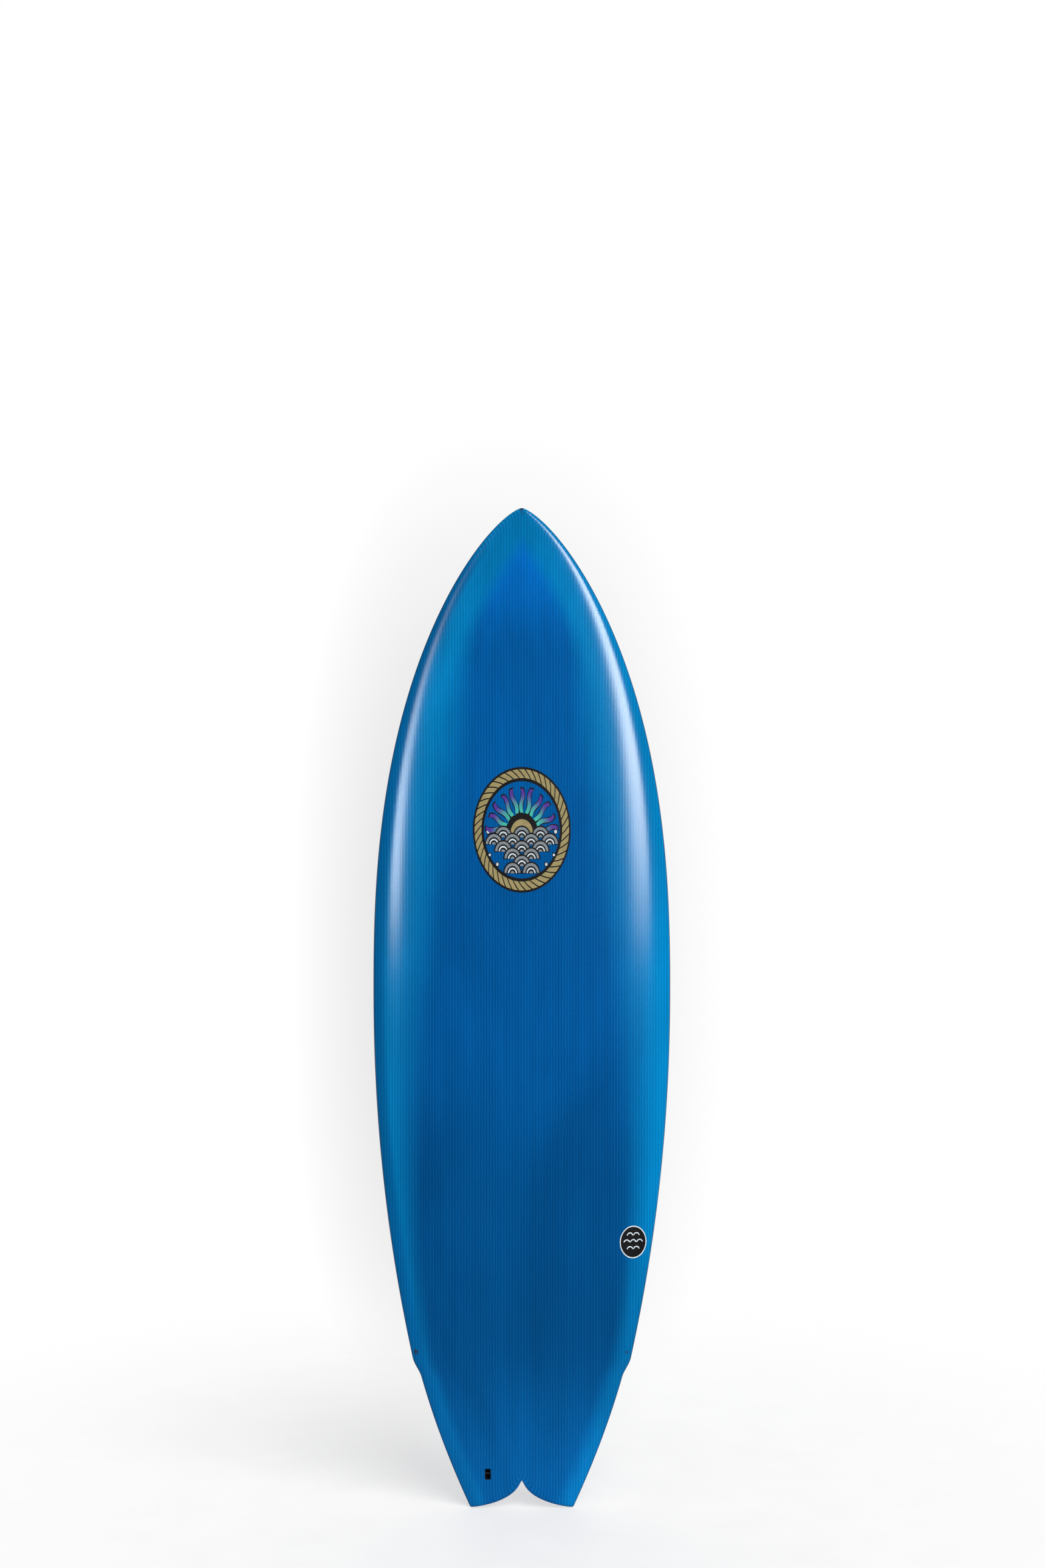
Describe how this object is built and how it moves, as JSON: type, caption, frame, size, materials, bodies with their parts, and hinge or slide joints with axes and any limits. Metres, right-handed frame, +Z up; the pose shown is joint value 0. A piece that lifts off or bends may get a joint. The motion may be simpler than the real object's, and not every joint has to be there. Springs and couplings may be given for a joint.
{
  "type": "shortboard surfboard",
  "caption": "Shortboard surfboard with a pointed nose, winged rails and a swallow tail, a leash plug in the deck and three removable fins in boxes.",
  "frame": {"origin": "on the floor under the middle of the whole board and its fins, with the tail tips at z = 0", "axes": "+Z up the board from tail to nose, +X to the rider's right, -Y out of the deck, +Y out of the bottom towards the fins"},
  "size_m": [0.5208, 0.2154, 1.7268],
  "materials": {
    "foam": "matte",
    "deck_laminate": "satin",
    "bottom_laminate": "satin",
    "emblem_print": "satin",
    "badge_print": "satin",
    "plug_plastic": "matte",
    "pin_steel": "polished",
    "box_plastic": "matte",
    "fin_plastic": "satin",
    "screw_steel": "satin"
  },
  "bodies": {
    "board": {"foam_core": "foam", "deck_skin": "deck_laminate", "bottom_skin": "bottom_laminate", "deck_emblem": "emblem_print", "rail_badge": "badge_print", "leash_cup": "plug_plastic", "leash_pin": "pin_steel", "fin_box_left": "box_plastic", "fin_box_right": "box_plastic", "fin_box_center": "box_plastic"},
    "fin_left": {"fin_left": "fin_plastic"},
    "fin_right": {"fin_right": "fin_plastic"},
    "fin_center": {"fin_center": "fin_plastic"},
    "screw_left_front": {"screw_left_front": "screw_steel"},
    "screw_left_rear": {"screw_left_rear": "screw_steel"},
    "screw_right_front": {"screw_right_front": "screw_steel"},
    "screw_right_rear": {"screw_right_rear": "screw_steel"},
    "screw_center_front": {"screw_center_front": "screw_steel"},
    "screw_center_rear": {"screw_center_rear": "screw_steel"}
  },
  "joints": [
    {"name": "fin_left_slide", "type": "slide", "parent": "board", "child": "fin_left", "axis": [-0.0358, 0.9961, -0.0806], "range_m": [0, 0.02]},
    {"name": "fin_right_slide", "type": "slide", "parent": "board", "child": "fin_right", "axis": [0.0358, 0.9961, -0.0806], "range_m": [0, 0.02]},
    {"name": "fin_center_slide", "type": "slide", "parent": "board", "child": "fin_center", "axis": [0, 0.994, -0.1093], "range_m": [0, 0.02]},
    {"name": "screw_left_front_turn", "type": "hinge", "parent": "board", "child": "screw_left_front", "pos_m": [-0.17437, -0.00387, 0.36227], "axis": [-0.375, 0.9253, -0.0569], "range_deg": [0, 810]},
    {"name": "screw_left_rear_turn", "type": "hinge", "parent": "board", "child": "screw_left_rear", "pos_m": [-0.17709, -0.00815, 0.31052], "axis": [-0.375, 0.9253, -0.0569], "range_deg": [0, 810]},
    {"name": "screw_right_front_turn", "type": "hinge", "parent": "board", "child": "screw_right_front", "pos_m": [0.17437, -0.00387, 0.36227], "axis": [0.375, 0.9253, -0.0569], "range_deg": [0, 810]},
    {"name": "screw_right_rear_turn", "type": "hinge", "parent": "board", "child": "screw_right_rear", "pos_m": [0.17709, -0.00815, 0.31052], "axis": [0.375, 0.9253, -0.0569], "range_deg": [0, 810]},
    {"name": "screw_center_front_turn", "type": "hinge", "parent": "board", "child": "screw_center_front", "pos_m": [0.00605, -0.02022, 0.17111], "axis": [0.342, 0.9341, -0.1027], "range_deg": [0, 810]},
    {"name": "screw_center_rear_turn", "type": "hinge", "parent": "board", "child": "screw_center_rear", "pos_m": [0.00605, -0.02591, 0.11942], "axis": [0.342, 0.9341, -0.1027], "range_deg": [0, 810]}
  ]
}
